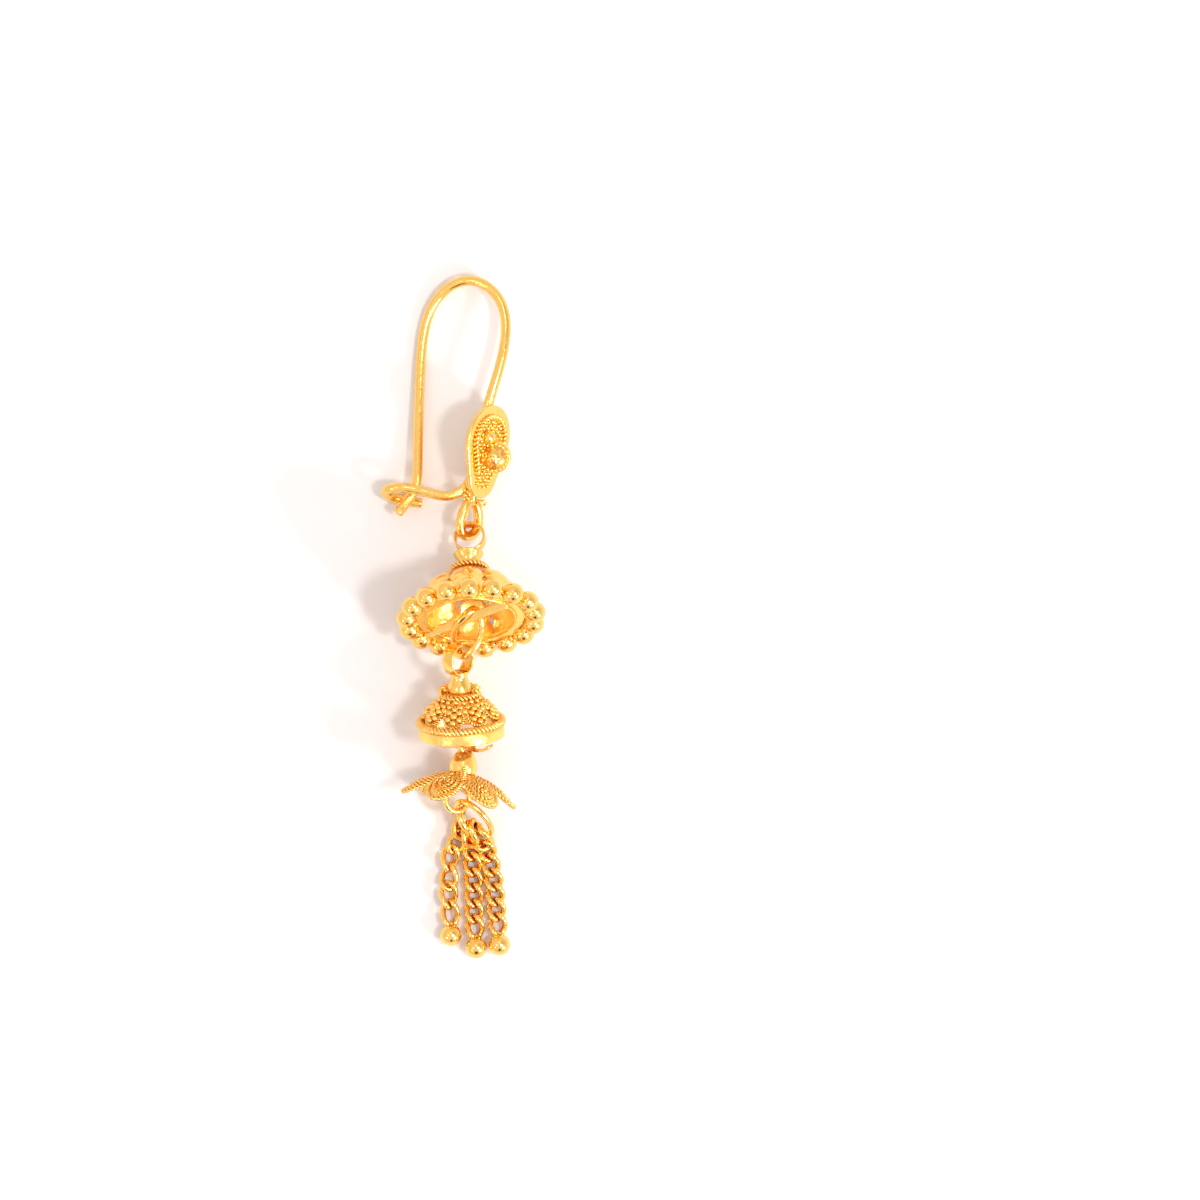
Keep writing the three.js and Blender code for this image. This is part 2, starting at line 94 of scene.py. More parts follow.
def level(flat, z):
    return np.hstack([flat, np.full((len(flat), 1), z)])


def ringPath(halfLong, halfWide, count, z=0.0):
    # an oval: (halfLong * cos a, halfWide * sin a, z)
    return level(circle(count) * [halfLong, halfWide], z)


def roundedBox(width, height, corner):
    # a rectangle about the origin whose four corners are quarter circles
    turns = (np.arange(4)[:, None] * np.pi / 2 + np.linspace(0, np.pi / 2, 4)).ravel()
    x = np.repeat([1, -1, -1, 1], 4) * (width / 2 - corner)
    y = np.repeat([1, 1, -1, -1], 4) * (height / 2 - corner)
    return np.stack([x, y], -1) + corner * arc(turns)


def drawnDown(profile):
    # a [radius, height] profile of a hanging piece, whose heights run along -Z
    return np.array(profile, float) * [1, -1]


def tangents(path, closed):
    if closed:
        return unit(np.roll(path, -1, 0) - np.roll(path, 1, 0))
    return unit(np.gradient(path, axis=0))


def squared(side, tangent):
    # the part of a direction that is square to a path
    return unit(side - (side * tangent).sum(-1, keepdims=True) * tangent)


def sweep(path, section, side, closed=False):
    # a section carried along a path: point = path + u * side + v * (tangent x side)
    tangent = tangents(path, closed)
    side = squared(np.broadcast_to(side, path.shape), tangent)
    other = np.cross(tangent, side)
    u, v = section[..., 0, None], section[..., 1, None]
    return path[:, None] + u * side[:, None] + v * other[:, None]


def spiral(path, side, turns, steps, closed=False):
    # a path with even points, its tangents, and a direction square to it that turns once in the steps
    line = np.hstack([path, np.broadcast_to(side, path.shape)])
    line = np.vstack([line, line[:1]]) if closed else line
    line = even(line, steps * turns + 1)[:-1 if closed else None]
    line, guide = line[:, :3], line[:, 3:]
    tangent = tangents(line, closed)
    guide = squared(guide, tangent)
    turn = (tau / steps * np.arange(len(line)))[:, None]
    return line, tangent, guide * np.cos(turn) + np.cross(tangent, guide) * np.sin(turn)


def revolved(profile, columns):
    # a closed [radius, z] profile carried round +Z: point = (radius * cos a, radius * sin a, z)
    ring = circle(columns)[:, None]
    z = np.broadcast_to(profile[:, 1:], (columns, len(profile), 1))
    return np.concatenate([profile[:, :1] * ring, z], -1)


def lathed(profile, columns):
    # an open [radius, z] profile turned round +Z and closed by the axis: its rows, and its two tips
    tips = np.array([[0, 0, profile[0, 1]], [0, 0, profile[-1, 1]]])
    return revolved(profile, columns).swapaxes(0, 1), tips


def hanging(seat):
    # centre and axes of a hanging piece: level across, upwards in its mouth's plane, and out of its mouth
    turn, lift = np.radians([seat["heading"], seat["rise"]])
    mouth = np.array([np.cos(turn) * np.cos(lift), np.sin(turn) * np.cos(lift), np.sin(lift)])
    across = np.array([-np.sin(turn), np.cos(turn), 0.0])
    return np.array(seat["centre"]), np.stack([across, np.cross(mouth, across), mouth])


def facing(centre, normal, along=(0, -1, 0)):
    # centre and axes of a ring: its long way, its short way and its normal
    z = unit(np.array(normal, float))
    x = np.array(along, float)
    x = unit(x - x @ z * z)
    return np.array(centre, float), np.stack([x, np.cross(z, x), z])


def place(points, seat):
    return points @ seat[1] + seat[0]


def turned(points, degrees):
    # turned about +Z
    c, s = np.cos(np.radians(degrees)), np.sin(np.radians(degrees))
    return points @ np.array([[c, s, 0], [-s, c, 0], [0, 0, 1]])


def polar(angle, radius, height):
    # a point of a hanging piece: (radius * cos a, radius * sin a, -height)
    return np.stack([radius * np.cos(angle), radius * np.sin(angle), -height], -1)


def repeated(points, turns):
    # a copy of the points for each turn about +Z
    return np.stack([turned(points, degrees) for degrees in turns])


def pressed(points, least, softness=0.15):
    # what would sink below a height bends up instead, like a petal that rests on the table
    z = least + softness * np.logaddexp(0, (points[..., 2:] - least) / softness)
    return np.concatenate([points[..., :2], z], -1)


def linked(name, data):
    thing = bpy.data.objects.new(name, data)
    bpy.context.collection.objects.link(thing)
    return thing


class Piece:
    # Surfaces gathered into one mesh. Each is a grid, or a batch of them, whose rows close on themselves
    # and whose columns close too or end in tips. Depth is 1 where shade is painted into grooves, and below
    # 0 where gold is satin, painted paler and with a painted glow.
    def __init__(self):
        self.points, self.quads, self.fans, self.depths, self.count = [], [], [], [], 0

    def add(self, grid, tips=None, depth=0.0):
        batch = grid if grid.ndim == 4 else grid[None]
        k, n, m = batch.shape[:3]
        index = np.arange(k * n * m).reshape(k, n, m)
        points = batch.reshape(-1, 3)
        depth = np.broadcast_to(depth, (k, n, m)).reshape(-1)
        rows = index if tips is not None else np.concatenate([index, index[:, :1]], 1)
        a, b = rows[:, :-1], rows[:, 1:]
        quads = np.stack([a, b, np.roll(b, -1, 2), np.roll(a, -1, 2)], -1).reshape(-1, 4)
        fans = np.zeros((0, 3), int)
        if tips is not None:
            first = k * n * m + 2 * np.arange(k)[:, None] + np.zeros(m, int)
            start, stop = index[:, 0], index[:, -1]
            fans = np.concatenate([
                np.stack([first, start, np.roll(start, -1, 1)], -1),
                np.stack([first + 1, np.roll(stop, -1, 1), stop], -1),
            ]).reshape(-1, 3)
            points = np.vstack([points, tips.reshape(-1, 3)])
            depth = np.concatenate([depth, np.zeros(2 * k)])
        # a surface whose volume comes out negative is inside out, and is turned
        corners = (points - points.mean(0))[np.vstack([quads[:, :3], quads[:, [0, 2, 3]], fans])]
        if (corners[:, 0] * np.cross(corners[:, 1], corners[:, 2])).sum() < 0:
            quads, fans = quads[:, ::-1], fans[:, ::-1]
        self.points.append(points)
        self.quads.append(self.count + quads)
        self.fans.append(self.count + fans)
        self.depths.append(depth)
        self.count += len(points)

    def balls(self, centres, radius, rows=7, columns=12, depth=0.0):
        # spheres: every centre + radius * (sin v cos u, sin v sin u, cos v)
        centres = np.atleast_2d(centres)
        radius = np.broadcast_to(radius, len(centres))[:, None, None, None]
        v = np.pi * np.arange(1, rows + 1) / (rows + 1)
        ball, poles = lathed(arc(v)[:, ::-1], columns)
        poles[:, 2] = 1, -1
        self.add(centres[:, None, None] + radius * ball, centres[:, None] + radius[..., 0] * poles, depth)

    def wire(self, path, radius, side, sides=16, closed=False, blunt=0.4):
        # a round wire; an open one ends in a dome that stands out by blunt radii
        if closed:
            self.add(sweep(path, radius * circle(sides), side, True))
            return
        turn = np.radians([80, 62, 42, 20])
        head, tail = unit(path[0] - path[1]), unit(path[-1] - path[-2])
        ends = blunt * radius * np.sin(turn)[:, None]
        line = np.vstack([path[0] + head * ends, path, path[-1] + tail * ends[::-1]])
        widths = np.concatenate([np.cos(turn), np.ones(len(path)), np.cos(turn[::-1])])
        side = np.broadcast_to(side, path.shape)
        side = np.vstack([np.repeat(side[:1], 4, 0), side, np.repeat(side[-1:], 4, 0)])
        tips = path[[0, -1]] + blunt * radius * np.stack([head, tail])
        self.add(sweep(line, widths[:, None, None] * radius * circle(sides), side), tips)

    def hoop(self, ring, points, sides):
        # a closed round wire along an oval
        seat = facing(ring["centre"], ring["normal"], ring.get("along", (0, -1, 0)))
        loop = place(ringPath(*ring["half"], points), seat)
        self.wire(loop, ring["wire"], loop - seat[0], sides, closed=True)

    def band(self, inner, outer, bottom, top, corner, seat, columns, depth):
        # a ring between two radii and two heights, with rounded edges
        middle = [(inner + outer) / 2, -(bottom + top) / 2]
        section = roundedBox(outer - inner, top - bottom, corner) + middle
        self.add(place(revolved(section, columns), seat), depth=depth)

    def rope(self, path, radius, side, pitch, closed=False, grooveShade=0.9):
        # two wires twisted together: each runs at half the rope's radius from its middle and goes round it
        # once a pitch; the side of a wire that looks at the other one is deep, painted with shade
        whole = np.vstack([path, path[:1]]) if closed else path
        length = np.linalg.norm(np.diff(whole, axis=0), axis=1).sum()
        line, tangent, out = spiral(path, side, max(1, round(length / pitch)), 12, closed)
        section = circle(8)
        deep = np.clip(grooveShade * (1 - section[:, 0]), 0, 1)
        for way in (out, -out):
            strand = line + 0.52 * radius * way
            ends = strand[[0, -1]] + radius / 4 * tangent[[0, -1]] * [[-1], [1]]
            grid = sweep(strand, 0.5 * radius * section, way, closed)
            self.add(grid, None if closed else ends, deep)

    def ropeRing(self, radius, height, wire, pitch, seat, points):
        # a rope laid in a circle about the seat's axis
        ring = place(ringPath(radius, radius, points, -height), seat)
        self.rope(ring, wire, ring - seat[0], pitch, closed=True)

    def coil(self, path, radius, wire, side, turns):
        # a wire wound round a path like a spring
        line, tangent, out = spiral(path, side, turns, 14)
        wound, section = line + radius * out, circle(8)
        # painted shade on the inner side of the wound wire
        deep = ((1 - section[:, 0]) / 2) ** 2
        self.add(sweep(wound, wire * section, out), wound[[0, -1]], deep)

    def lathe(self, profile, columns, seat, depth=0.0):
        rows, tips = lathed(profile, columns)
        self.add(place(rows, seat), place(tips, seat), depth)

    def addBar(self, path, section, side, turn, seat):
        # a bar along a path, with flat ends
        grid = turned(sweep(path, section, side), turn)
        self.add(place(grid, seat), place(grid[[0, -1]].mean(1), seat))

    def addBail(self, bail, seat, columns=64):
        # a flat strip bent into a ring that stands on the piece's axis, with painted shade inside
        section = roundedBox(bail["ribbon"], bail["width"], bail["corner"])
        deep = np.where(section[:, 0] < 0, bail["inside"], 0.0)
        ring = revolved(section + [bail["radius"] - bail["ribbon"] / 2, 0], columns)
        upright = turned(ring[..., [0, 2, 1]] * [1, -1, 1], bail["turn"])
        self.add(place(upright + [bail["aside"], 0, -bail["height"]], seat), depth=deep)

    def finish(self, name, node, material):
        # one mesh in metres, which rides on the body and stands for its node
        mesh = bpy.data.meshes.new(name)
        points = (np.vstack(self.points) + shift) * mm
        faces = np.vstack(self.quads).tolist() + np.vstack(self.fans).tolist()
        mesh.from_pydata(points.tolist(), [], faces)
        depth = mesh.attributes.new("depth", "FLOAT", "POINT")
        depth.data.foreach_set("value", np.concatenate(self.depths).astype(np.float32))
        mesh.polygons.foreach_set("use_smooth", np.ones(len(faces), bool))
        mesh.materials.append(material)
        piece = linked(name, mesh)
        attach(piece, "root")
        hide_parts(node)


class Value:
    # a socket of a node tree, so that sums on it read as sums
    def __init__(self, nodes, socket):
        self.nodes, self.socket = nodes, socket

    def math(self, operation, *others):
        return self.nodes.make("ShaderNodeMath", {"operation": operation}, *others)

    def __add__(self, other):
        return self.math("ADD", self, other)

    def __rsub__(self, other):
        return self.math("SUBTRACT", other, self)

    def __mul__(self, other):
        return self.math("MULTIPLY", self, other)

    def __pow__(self, other):
        return self.math("POWER", self, other)

    __radd__ = __add__


class Nodes:
    def __init__(self, tree):
        self.tree = tree

    def put(self, socket, value):
        if isinstance(value, Value):
            self.tree.links.new(value.socket, socket)
        else:
            socket.default_value = value

    def make(self, kind, settings, *values, output=0, **named):
        # a node with its settings, then the values or links of its sockets
        node = self.tree.nodes.new(kind)
        for key, value in settings.items():
            setattr(node, key, value)
        for socket, value in zip(node.inputs, values):
            self.put(socket, value)
        for key, value in named.items():
            self.put(node.inputs[key], value)
        return Value(self, node.outputs[output])

    def blend(self, share, first, second):
        # a colour between two colours
        node = self.tree.nodes.new("ShaderNodeMix")
        node.data_type = "RGBA"
        for index, value in zip((0, 6, 7), (share, first, second)):
            self.put(node.inputs[index], value)
        return Value(self, node.outputs[2])


gold = {
    "pale": (1.0, 0.685, 0.225, 1),
    "deep": (1.0, 0.575, 0.125, 1),
    # painted shade: the colour that grooves and gaps are darkened towards
    "groove": (0.6, 0.18, 0.01, 1),
    # painted light: the paler tone that satin parts are drawn towards
    "satinAndGlow": (1.0, 0.7, 0.2, 1),
    "bounce": (0.34, 0.17, 0.02, 1),  # light that keeps bouncing about inside
    "bounceStrength": 1.2,
    "cloud": 900.0,  # noise scales, per metre
    "speck": 5200.0,
}


def goldMaterial(name, roughness, dents, dentSize, paintedShade=0.5):
    # polished gold: tone and polish wander over it, grooves get painted shade, satin parts get a paler
    # painted tone and a painted glow, and small dents bend the gloss; dents and dentSize are in millimetres
    material = bpy.data.materials.new(name)
    material.use_nodes = True
    nodes = Nodes(material.node_tree)
    shader = material.node_tree.nodes["Principled BSDF"]
    where = nodes.make("ShaderNodeTexCoord", {}, output=3)
    depth = nodes.make("ShaderNodeAttribute", {"attribute_name": "depth"}, output=2)

    def noise(scale, detail, rough):
        kind = "ShaderNodeTexNoise"
        return nodes.make(kind, {}, Vector=where, Scale=scale, Detail=detail, Roughness=rough)

    cloud = noise(gold["cloud"], 3.0, 0.55)
    speck = noise(gold["speck"], 4.0, 0.6)
    dent = noise(1 / (dentSize * mm), 2.0, 0.5)
    groove = depth.math("MAXIMUM", depth, 0.0)
    satinAndGlow = depth.math("MAXIMUM", depth * -1.0, 0.0)
    tone = nodes.blend(cloud, gold["pale"], gold["deep"])
    # painted shade in grooves and gaps
    tone = nodes.blend(groove**1.5 * paintedShade, tone, gold["groove"])
    # painted light: satin parts are made paler
    tone = nodes.blend(satinAndGlow, tone, gold["satinAndGlow"])
    polish = cloud * 0.1 + speck * 0.08 + groove * 0.2 + satinAndGlow * 0.12 + (roughness - 0.09)
    height = dent * (1.0 + satinAndGlow * 1.5) + speck * (0.12 + satinAndGlow * 0.7)
    bump = nodes.make("ShaderNodeBump", {}, Strength=1.0, Distance=dents * mm, Height=height)
    nodes.put(shader.inputs["Base Color"], tone)
    nodes.put(shader.inputs["Roughness"], polish)
    nodes.put(shader.inputs["Normal"], bump)
    nodes.put(shader.inputs["Metallic"], 1.0 - satinAndGlow * 0.25)
    # painted glow on satin parts, standing in for light that bounces about inside
    nodes.put(shader.inputs["Emission Color"], nodes.blend(satinAndGlow * cloud, (0, 0, 0, 1), gold["bounce"]))
    nodes.put(shader.inputs["Emission Strength"], gold["bounceStrength"])
    return material


beadGold = goldMaterial("polished bead gold", 0.11, 0.035, 0.5)
wireGold = goldMaterial("drawn wire gold", 0.14, 0.03, 0.6)
sheetGold = goldMaterial("beaten sheet gold", 0.18, 0.04, 0.7, 0.6)
grainGold = goldMaterial("twisted and grained gold", 0.14, 0.012, 0.35, 1.0)
chainGold = goldMaterial("chain gold", 0.1, 0.012, 0.5, 1.0)


earWire = {
    "radius": 0.44,
    "route": [
        [-5.58, 8.93, 1.92], [-4.75, 10.0, 1.62], [-4.22, 10.85, 1.47], [-3.94, 11.9, 1.4],
        [-3.86, 14.2, 1.15], [-3.8, 17.4, 0.85], [-3.7, 20.7, 0.6], [-3.45, 24.0, 0.47],
        [-2.65, 26.85, 0.5], [-1.1, 28.6, 0.75], [0.6, 29.15, 1.05], [2.2, 28.6, 1.4], [3.35, 27.2, 1.8],
        [3.78, 25.2, 2.2], [3.5, 22.7, 2.55], [2.85, 20.3, 2.7], [2.15, 17.9, 2.6], [1.6, 15.4, 2.3],
        [1.15, 13.2, 2.1], [0.6, 11.6, 2.15], [-0.35, 10.7, 2.28], [-1.5, 10.42, 2.4], [-2.9, 10.68, 2.44],
        [-4.3, 11.0, 2.46], [-5.6, 11.15, 2.38], [-6.38, 11.03, 2.02], [-6.64, 10.72, 1.5],
        [-6.38, 10.42, 0.95], [-5.8, 10.2, 0.56], [-4.7, 9.95, 0.46], [-3.6, 9.78, 0.46],
    ],
    "points": 460,
    "sides": 20,
    "blunt": 0.25,
    "leansFrom": (0, 18, 5),  # a point that the wire never runs straight at
}


def makeEarWire():
    w = earWire
    path = spline(w["route"], w["points"])
    piece = Piece()
    piece.wire(path, w["radius"], path - w["leansFrom"], w["sides"], blunt=w["blunt"])
    piece.finish("ear_wire", "ear_hook", wireGold)


plaque = {
    "centre": (2.22, 14.3, 3.02),
    "lean": 8.5,  # degrees by which its long way leans to the right
    "pitch": 6,  # degrees by which its top is raised
    "facing": 34,  # its face looks to the right and this many degrees up
    "top": (3.08, 0.95),  # radius, and distance of its centre above the plaque's
    "foot": (1.95, -2.25),
    "rows": [  # size of each row of the plate, how far it is drawn in, and its height
        (0.45, 0.5, -0.4), (1, 0.5, -0.4), (1, 0.12, -0.4), (1, 0.03, -0.36), (1, 0, -0.29), (1, 0, -0.1),
        (1, 0.03, -0.03), (1, 0.1, 0), (1, 0.3, 0.02), (1, 0.6, 0.02), (1, 0.82, 0), (0.5, 0.82, 0),
    ],
    "around": 140,
    "rope": {"inset": 1.02, "height": 0.13, "radius": 0.27, "pitch": 0.76, "grooveShade": 0.12},
    "ropeEnds": -1.9,  # distance of the rope's ends along the plaque
    "grain": 0.19,
    "steps": (3.3, 1.5),  # from grain to grain and from row to row, in radii
    "stray": 0.05,
    "grainGap": 0.36,  # between the rope and the grains
    "footInset": 0.75,
    "boss": {
        "at": (0.58, -0.4),
        "radius": 1.45,
        "height": 0.42,  # of its centre above the plaque's face
        "foot": (1.1, -0.1),
        "lean": 62,  # degrees by which its top looks to the plaque's left
        "dome": (0.88, 0.8),  # radius, and distance from the boss's centre
        "lobes": (7, 0.13),  # count, and how far they swell
        "button": (0.26, 1.66),
        "grains": (1.16, 0.86, 0.17, 20),  # circle, height, radius and count
        "rim": (1.34, 0.6, 0.08),  # circle, height and radius of a wire
    },
    "ball": (-0.5, 1.22, 0.25, 0.62),  # centre and radius
}


def plaqueSeat():
    p = plaque
    lean, pitch, tip = np.radians([p["lean"], p["pitch"], -p["facing"]])
    along = np.array([np.sin(lean) * np.cos(pitch), np.cos(lean) * np.cos(pitch), np.sin(pitch)])
    right = unit(np.cross(along, [0, 0, 1.0]))
    normal = right * np.cos(tip) + np.cross(along, right) * np.sin(tip)
    return np.array(p["centre"]), np.stack([np.cross(along, normal), along, normal])


def egg(inset, count):
    # two arcs joined by their common tangents, each drawn in by the inset
    (topRadius, topY), (footRadius, footY) = plaque["top"], plaque["foot"]
    tilt = np.arcsin((topRadius - footRadius) / (topY - footY))
    top = np.linspace(-tilt, np.pi + tilt, 90)
    foot = np.linspace(np.pi + tilt, tau - tilt, 60)
    line = np.vstack([
        (topRadius - inset) * arc(top) + [0, topY],
        max(footRadius - inset, 0.05) * arc(foot) + [0, footY],
    ])
    return even(np.vstack([line, line[:1]]), count + 1)[:-1]


def makePlaque():
    p, seat = plaque, plaqueSeat()
    # the plate: rows of eggs from the middle of its back over the edge to the middle of its face
    grid = np.stack([level(size * egg(inset, p["around"]), z) for size, inset, z in p["rows"]])
    plate = Piece()
    plate.add(place(grid, seat), place(np.array([[0, 0, p["rows"][0][2]], [0, 0, p["rows"][-1][2]]]), seat))
    plate.finish("plaque_plate", "ear_hook", sheetGold)

    work, r = Piece(), p["rope"]
    # a rope that frames the upper part
    rim = level(egg(r["inset"], 300), r["height"])
    rim = np.roll(rim, -rim[:, 1].argmin(), 0)
    rim = place(rim[rim[:, 1] > p["ropeEnds"]], seat)
    work.rope(rim, r["radius"], rim - seat[0], r["pitch"], grooveShade=r["grooveShade"])
    # grains wherever the plate is still bare, in staggered rows that shrink towards the foot
    grain, boss, random = p["grain"], p["boss"], np.random.default_rng(4)
    step, rowStep = np.array(p["steps"]) * grain
    x, y = np.meshgrid(np.arange(-5, 6) * step, np.arange(-19, 19) * rowStep)
    x = x + step / 2 * (np.arange(len(x))[:, None] % 2)
    spots = np.stack([x.ravel(), y.ravel()], -1)
    spots = spots + random.uniform(-p["stray"], p["stray"], spots.shape)

    def within(inset):
        field = egg(inset, 160)
        nearest = np.linalg.norm(spots[:, None] - field, axis=-1).argmin(1)
        return np.linalg.norm(spots, axis=1) < np.linalg.norm(field[nearest], axis=1)

    inside = within(r["inset"] + p["grainGap"]) | (within(p["footInset"]) & (spots[:, 1] < p["ropeEnds"]))
    clear = np.linalg.norm(spots - boss["at"], axis=1) > boss["radius"] + 0.05
    clear &= np.linalg.norm(spots - p["ball"][:2], axis=1) > p["ball"][3] + 0.1
    spots = spots[inside & clear]
    size = grain * np.interp(spots[:, 1], [-3.6, -2.4], [0.5, 1.0]) * random.uniform(0.85, 1.15, len(spots))
    work.balls(place(level(spots, 0.08), seat), size, 6, 10)

    # what stands on the boss leans with it
    angle = np.radians(boss["lean"])
    c, s = np.cos(angle), np.sin(angle)
    lean = np.array([*boss["at"], boss["height"]]), np.array([[c, 0, s], [0, 1.0, 0], [-s, 0, c]])

    def onBoss(points):
        return place(place(points, lean), seat)

    reach, height, radius, count = boss["grains"]
    work.balls(onBoss(ringPath(reach, reach, count, height)), radius)
    work.finish("plaque_grains", "ear_hook", grainGold)

    rosette = Piece()
    bow = np.linspace(-0.3, np.pi / 2 - 0.06, 26)
    profile = boss["radius"] * arc(bow) + [0, boss["height"]]
    rows, tips = lathed(np.vstack([boss["foot"], profile]), 64)
    # the boss is painted with shade round the dome, where the grains lie
    near = unit(rows - [0, 0, boss["height"]]) @ lean[1][2]
    middle = place(np.array([*boss["at"], 0]), seat), seat[1]
    rosette.add(place(rows, middle), place(tips, middle), np.clip((near - 0.6) * 8, 0, 0.8))
    reach, height, wire = boss["rim"]
    line = onBoss(ringPath(reach, reach, 64, height))
    rosette.wire(line, wire, line - onBoss(np.zeros(3)), 12, closed=True)
    # the dome is a ball whose radius swells by a cosine round it, a lobe at each crest
    radius, far = boss["dome"]
    count, swell = boss["lobes"]
    around = 12 * count
    bow = np.linspace(-0.5, np.pi / 2 - 0.08, 22)
    rows, tips = lathed(radius * arc(bow) + [0, far], around)
    wave = np.cos(count * tau * np.arange(around) / around) * np.cos(bow)[:, None]
    rows[..., :2] *= (1 + swell * wave)[..., None]
    # painted shade, deepest in the folds between the lobes
    rosette.add(onBoss(rows), onBoss(tips), 0.35 * (1 - wave))
    radius, far = boss["button"]
    rosette.balls(onBoss(np.array([0, 0, far])), radius, 11, 18)
    rosette.balls(place(np.array(p["ball"][:3]), seat), p["ball"][3], 15, 28)
    rosette.finish("plaque_rosette", "ear_hook", beadGold)


hangEye = {
    "centre": (0.66, 8.5, 1.8),
    "normal": (0.695, -0.177, 0.74),
    "half": (1.58, 1.02),
    "wire": 0.43,
    "pear": 0.3,  # how much wider its foot is
    "solder": [[0.78, 11.7, 2.2], [0.86, 10.9, 2.3], [0.8, 10.3, 2.15], [0.7, 9.75, 1.9]],
    "bits": [  # centres and radii of lumps of solder
        [0.2, 10.95, 2.75, 0.2], [0.5, 10.75, 2.95, 0.18], [0.25, 10.5, 2.75, 0.18],
        [0.85, 10.5, 2.95, 0.2], [0.5, 10.2, 2.75, 0.17], [1.2, 10.7, 2.9, 0.18], [0.8, 10.05, 2.6, 0.16],
        [1.3, 10.25, 2.65, 0.17], [0.12, 10.15, 2.5, 0.17], [-0.05, 10.75, 2.5, 0.16],
    ],
    "loop": {"centre": (1.8, 9.8, 2.4), "normal": (0.5, -0.1, 0.8), "half": (0.22, 0.26), "wire": 0.11},
    "loopBits": [[1.5, 9.95, 2.35], [1.45, 9.72, 2.2]],
}


def makeHangEye():
    e = hangEye
    seat = facing(e["centre"], e["normal"])
    piece = Piece()
    # the ring is pear-shaped: an oval whose width shrinks evenly towards its top
    ring = ringPath(*e["half"], 84)
    ring[:, 1] *= 1 + e["pear"] * ring[:, 0] / e["half"][0]
    loop = place(ring, seat)
    piece.wire(loop, e["wire"], loop - seat[0], 18, closed=True)
    # solder that joins the eye to the wire and the plaque's foot: a tube that narrows in slow waves
    neck = spline(e["solder"], 24)
    share = np.linspace(0, 1, len(neck))
    width = 0.72 - 0.26 * share + 0.04 * np.sin(9 * share)
    tips = neck[[0, -1]] + [[0, 0.3, 0], [0, -0.3, -0.05]]
    piece.add(sweep(neck, width[:, None, None] * circle(18), [1, 0, 0]), tips)
    piece.finish("hang_eye", "ear_hook", wireGold)

    bits, lumps = Piece(), np.array(e["bits"])
    bits.balls(lumps[:, :3], lumps[:, 3], 6, 10, 0.1)
    bits.hoop(e["loop"], 24, 8)
    bits.balls(e["loopBits"], 0.2, 6, 10)
    bits.finish("eye_solder", "ear_hook", grainGold)


makeEarWire()
makePlaque()
makeHangEye()
print("hook done")


cap = {
    "centre": (0.8, -0.26, 5.88),
    "heading": -87.4,  # where its mouth looks, and how far up
    "rise": 28,
    "beads": 17,
    "bead": 0.94,
    "beadCircle": 5.56,
    "beadDepth": -0.12,
    "grains": (4.98, 0.12, 0.22),  # circle, height and radius of the grains between the beads
    "rim": (3.8, 5.15, 0, 0.3, 0.1),  # radii and heights of its edges, and corners
    "lip": (3.85, 0.04, 0.13),  # circle, height and radius of a wire round the mouth
    "profile": [(4.9, 0.05), (4.5, 1.15), (3.95, 2.25), (3.4, 3.05), (2.95, 3.48), (2.66, 3.68),
                (2.5, 3.76)],
    "lobes": 8,
    "lobeTurn": 93,
    "eye": (1.75, 0.3, 0.17),  # height, width and share of the gap between two lobes near the rim
    "bulge": 0.42,
    "wall": 0.24,
    "crown": (1.5, 4.8, 0.29, 0.66),  # circle, height, radius and pitch of a rope
    "plate": [(2.75, 3.3), (2.5, 3.62), (2.0, 4.12), (1.5, 4.55), (1.2, 4.76)],
    "neck": [(1.2, 4.7), (1.14, 4.95), (0.92, 5.05), (0.76, 5.2), (0.74, 5.42), (0.94, 5.82), (1.24, 6.22),
             (1.3, 6.38), (1.16, 6.45), (0.4, 6.6)],
    "bar": {"turn": 35, "offset": 0.4, "ends": (-4.75, 4.2), "width": 0.8, "depth": 0.34, "roll": 120,
            "out": 0.1, "taper": (0.9, 0.25)},  # its length, and the share of the width at its start
    "bail": {"radius": 1.4, "ribbon": 0.2, "width": 0.88, "corner": 0.07, "height": 7.95, "turn": 8,
             "aside": 0.18, "inside": 0.9},
}


def makeCapLobes():
    # Each lobe is a hollow tongue: u goes up the profile, v goes across from -1 to 1. Its half angle is the
    # lobe's share of the circle, closed near the top like an ellipse, and it bulges by 1 - v^2.
    c, seat = cap, hanging(cap)
    rows, across = 48, 17
    u = np.linspace(0, 1, rows)
    line = spline(c["profile"], rows)
    past = np.clip((u - 0.5) / 0.5, 0, 1)
    # near the rim the lobes part a little, which leaves a small eye between each two
    eyeHeight, eyeWidth, part = c["eye"]
    share = 1.01 - part * np.exp(-(((line[:, 1] - eyeHeight) / eyeWidth) ** 2))
    spread = np.pi / c["lobes"] * share * np.sqrt(1 - (past * 0.97) ** 2)
    v = np.cos(np.pi * np.arange(across) / (across - 1))
    swell = (c["bulge"] * np.sin(np.pi * np.clip(u * 0.95 + 0.1, 0, 1)) ** 0.7)[:, None] * (1 - v**2)
    angle = spread[:, None] * v
    radius, height = line[:, :1] + swell, line[:, 1:] + 0.35 * swell
    inner = polar(angle, radius - c["wall"], height - 0.5 * c["wall"])
    grid = np.concatenate([polar(angle, radius, height), inner[:, ::-1]], 1)
    tips = grid[[0, -1]].mean(1)
    turns = c["lobeTurn"] + 360 * np.arange(c["lobes"]) / c["lobes"]
    # painted shade along the lobes' edges outside; inside, painted shade at the seams and a painted satin
    # glow in the middle
    depth = np.concatenate([np.abs(v) ** 6 * 0.7, 2 * np.abs(v) ** 3 - 1])
    piece = Piece()
    piece.add(place(repeated(grid, turns), seat), place(repeated(tips, turns), seat), depth)
    piece.finish("cap_lobes", "beaded_cap", sheetGold)


